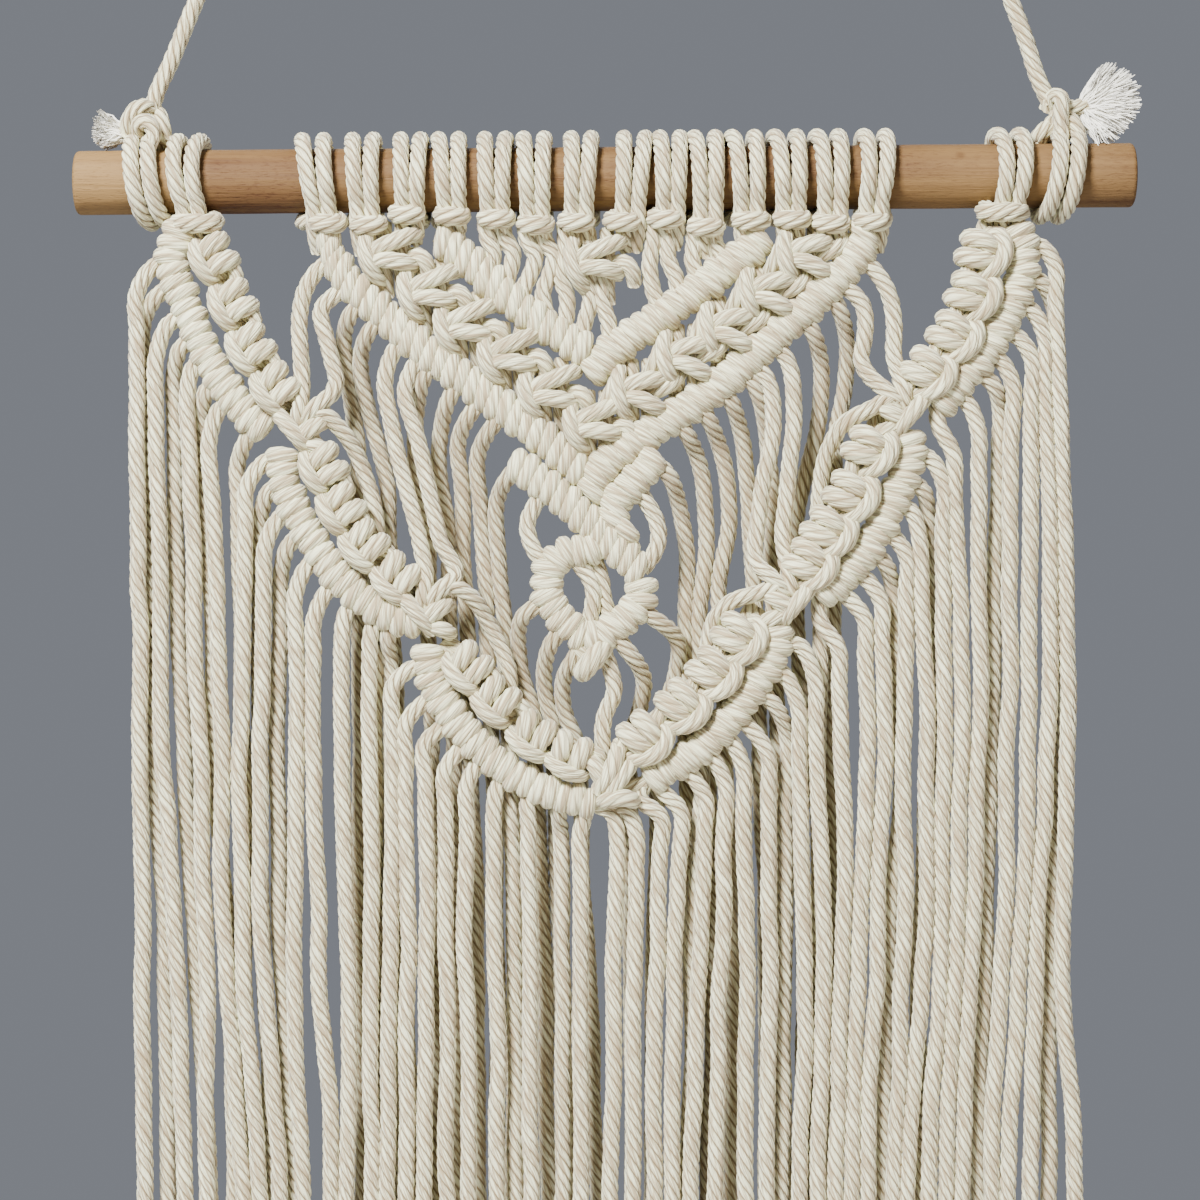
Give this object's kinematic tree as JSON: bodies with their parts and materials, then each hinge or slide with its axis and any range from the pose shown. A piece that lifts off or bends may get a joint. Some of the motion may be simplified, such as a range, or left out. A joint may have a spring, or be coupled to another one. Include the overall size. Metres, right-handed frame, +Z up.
{
  "type": "macrame wall hanging on a wooden dowel",
  "caption": "Macrame wall hanging of twisted cotton cord: knotted V panel with a diamond, draped swags and a long straight fringe, on a round wooden dowel with a cord hanger.",
  "frame": {"origin": "on the nail's axis, inside the bend at the top of the hanging cord, in the plane of the dowel's axis", "axes": "+Z up, -Y towards the viewer in front of the wall, +X to the viewer's right along the dowel"},
  "size_m": [0.306, 0.0328, 0.6977],
  "materials": {
    "raw_wood": "raw, lightly sanded",
    "hanging_cotton": "matt twisted cotton",
    "cotton_cord": "matt twisted cotton"
  },
  "bodies": {
    "root": {"dowel": "raw_wood", "hanging_cord": "hanging_cotton", "centre_panel": "cotton_cord", "swags": "cotton_cord"}
  },
  "joints": []
}
